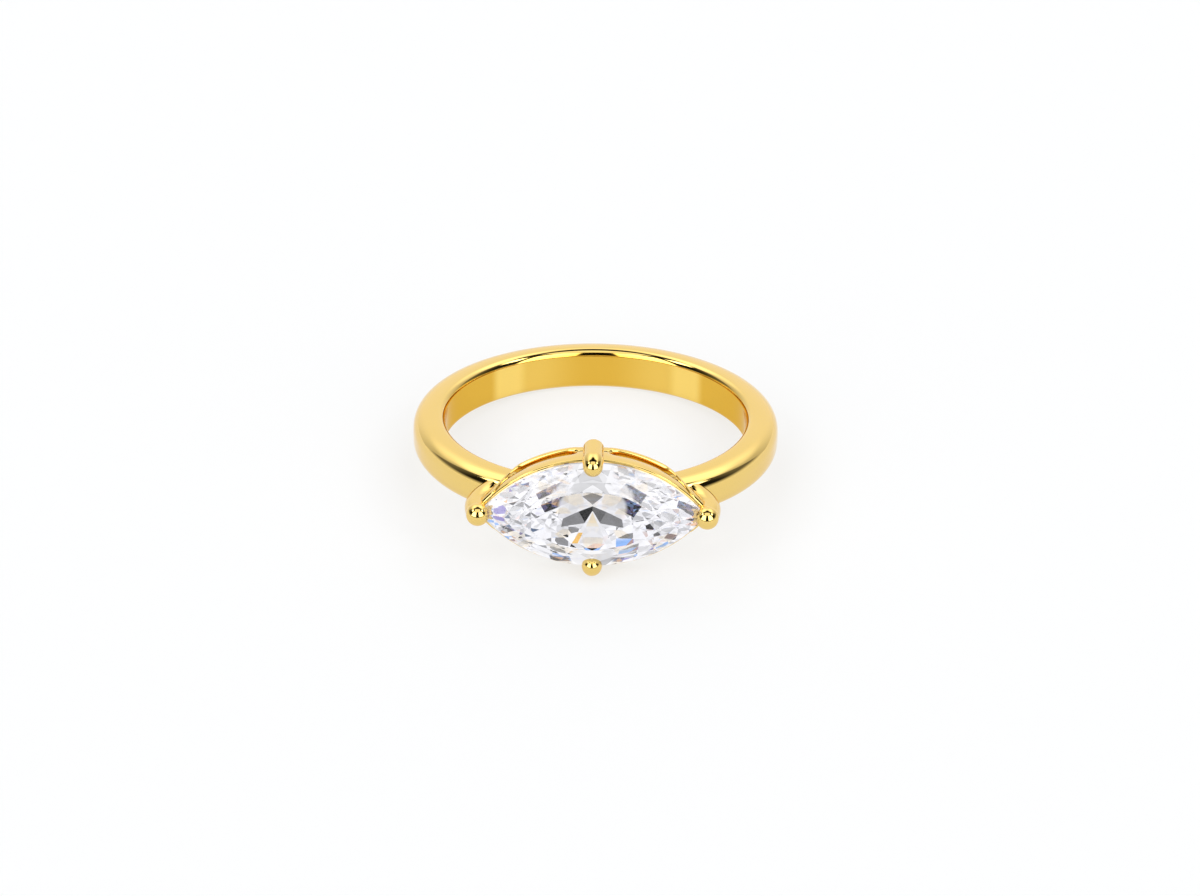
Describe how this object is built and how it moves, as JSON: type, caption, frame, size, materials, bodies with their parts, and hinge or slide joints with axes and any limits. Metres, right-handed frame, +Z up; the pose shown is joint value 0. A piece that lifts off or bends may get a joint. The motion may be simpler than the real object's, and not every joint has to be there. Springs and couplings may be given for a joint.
{
  "type": "marquise ring",
  "caption": "Finger ring with a marquise stone set along a rounded band, held by claws on a low two-rail gallery, lying on its side.",
  "frame": {"origin": "centre of the ring's footprint, on the table that the ring lies on", "axes": "+Z up from the table; -Y is the side of the head and stone, which faces -Y and slightly up; +X runs to the right along the stone's length"},
  "size_m": [0.0206, 0.0222, 0.0078],
  "materials": {
    "gold": "yellow gold, mirror polished",
    "stone": "clear and colourless, cut and polished"
  },
  "bodies": {
    "root": {"mounting": "gold", "marquise_stone": "stone"}
  },
  "joints": []
}
